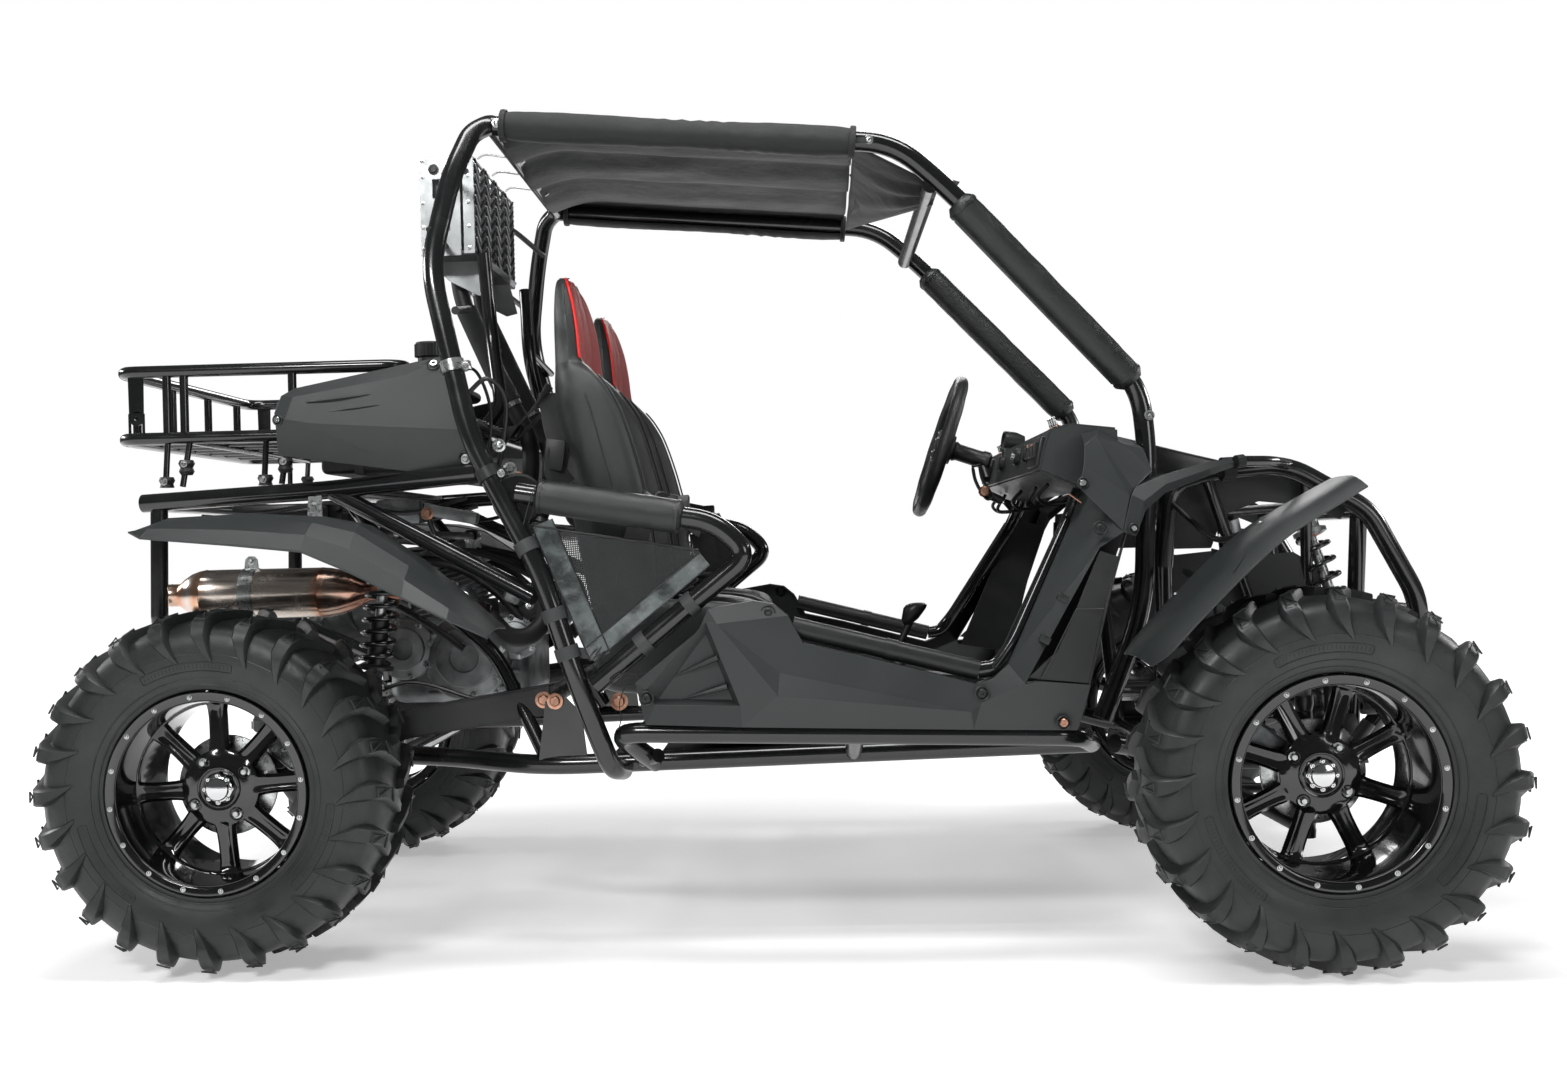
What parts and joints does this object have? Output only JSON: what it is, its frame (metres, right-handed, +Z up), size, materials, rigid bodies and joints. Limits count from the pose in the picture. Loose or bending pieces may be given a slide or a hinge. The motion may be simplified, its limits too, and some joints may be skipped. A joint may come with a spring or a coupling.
{
  "type": "two-seat dune buggy",
  "caption": "Open off-road buggy: tube chassis and roll cage with fabric roof, side nets, bucket seats, rear engine, luggage rack, steered front wheels and lugged tyres.",
  "frame": {"origin": "on the ground, midway between the axles, on the centre plane", "axes": "+X forward, +Y to the driver's left, +Z up"},
  "size_m": [2.66, 1.56, 1.6246],
  "materials": {
    "frame": "satin black powder coat",
    "panel": "matte charcoal moulded plastic",
    "fabric": "black coated cloth",
    "vinyl": "black vinyl with red panels",
    "tyre": "matte rubber",
    "rim": "gloss black",
    "alloy": "cast",
    "steel": "heat-tinted stainless",
    "rubber": "matte",
    "spring": "black coils"
  },
  "bodies": {
    "chassis": {"cooling_hoses": "rubber", "dashboard": "panel", "drive_axle": "alloy", "engine": "alloy", "fender_front_left": "panel", "fender_front_right": "panel", "fender_rear_left": "panel", "fender_rear_right": "panel", "floor_frame": "frame", "floor_pan": "panel", "front_frame": "frame", "front_lower_arms": "frame", "front_shocks": "spring", "front_upper_arms": "frame", "fuel_tank": "rubber", "gear_lever": "rubber", "hood": "panel", "muffler": "steel", "pedals": "frame", "pillar_pad_left": "fabric", "pillar_pad_right": "fabric", "radiator": "alloy", "rear_cover_left": "panel", "rear_cover_right": "panel", "rear_frame": "frame", "rear_rack": "frame", "rear_shocks": "spring", "rear_swing_arms": "frame", "roll_hoop": "frame", "roof_canopy": "fabric", "roof_frame": "frame", "seat_left": "vinyl", "seat_right": "vinyl", "side_hoop_left": "frame", "side_hoop_right": "frame", "side_net_left": "fabric", "side_net_right": "fabric", "side_pad_left": "fabric", "side_pad_right": "fabric", "side_panel_left": "panel", "side_panel_right": "panel", "steering_column": "frame"},
    "knuckle_left": {"knuckle_left": "frame"},
    "knuckle_right": {"knuckle_right": "frame"},
    "steering_rack": {"steering_rack": "frame"},
    "steering_wheel": {"steering_wheel": "rubber"},
    "wheel_front_left": {"tyre_front_left": "tyre", "rim_front_left": "rim"},
    "wheel_front_right": {"tyre_front_right": "tyre", "rim_front_right": "rim"},
    "wheel_rear_left": {"tyre_rear_left": "tyre", "rim_rear_left": "rim"},
    "wheel_rear_right": {"tyre_rear_right": "tyre", "rim_rear_right": "rim"}
  },
  "joints": [
    {"name": "steer_left", "type": "hinge", "parent": "chassis", "child": "knuckle_left", "pos_m": [0.995, 0.575, 0.335], "axis": [0, 0, 1], "range_deg": [-28, 28]},
    {"name": "steer_right", "type": "hinge", "parent": "chassis", "child": "knuckle_right", "pos_m": [0.995, -0.575, 0.335], "axis": [0, 0, 1], "range_deg": [-28, 28]},
    {"name": "rack_slide", "type": "slide", "parent": "chassis", "child": "steering_rack", "axis": [0, 1, 0], "range_m": [-0.052, 0.052]},
    {"name": "steering_wheel_turn", "type": "hinge", "parent": "chassis", "child": "steering_wheel", "pos_m": [0.42, 0.27, 0.986], "axis": [-0.9444, 0, 0.3289], "range_deg": [-252.1, 252.1]},
    {"name": "wheel_front_left_spin", "type": "hinge", "parent": "knuckle_left", "child": "wheel_front_left", "pos_m": [0.995, 0.665, 0.335], "axis": [0, 1, 0], "continuous": true},
    {"name": "wheel_front_right_spin", "type": "hinge", "parent": "knuckle_right", "child": "wheel_front_right", "pos_m": [0.995, -0.665, 0.335], "axis": [0, 1, 0], "continuous": true},
    {"name": "wheel_rear_left_spin", "type": "hinge", "parent": "chassis", "child": "wheel_rear_left", "pos_m": [-0.995, 0.5575, 0.335], "axis": [0, 1, 0], "continuous": true},
    {"name": "wheel_rear_right_spin", "type": "hinge", "parent": "chassis", "child": "wheel_rear_right", "pos_m": [-0.995, -0.5575, 0.335], "axis": [0, 1, 0], "continuous": true}
  ],
  "couplings": [
    {"joint": "steer_right", "follows": "steer_left", "ratio": 1},
    {"joint": "rack_slide", "follows": "steer_left", "m_per_rad": -0.1057},
    {"joint": "steering_wheel_turn", "follows": "steer_left", "ratio": 9}
  ]
}
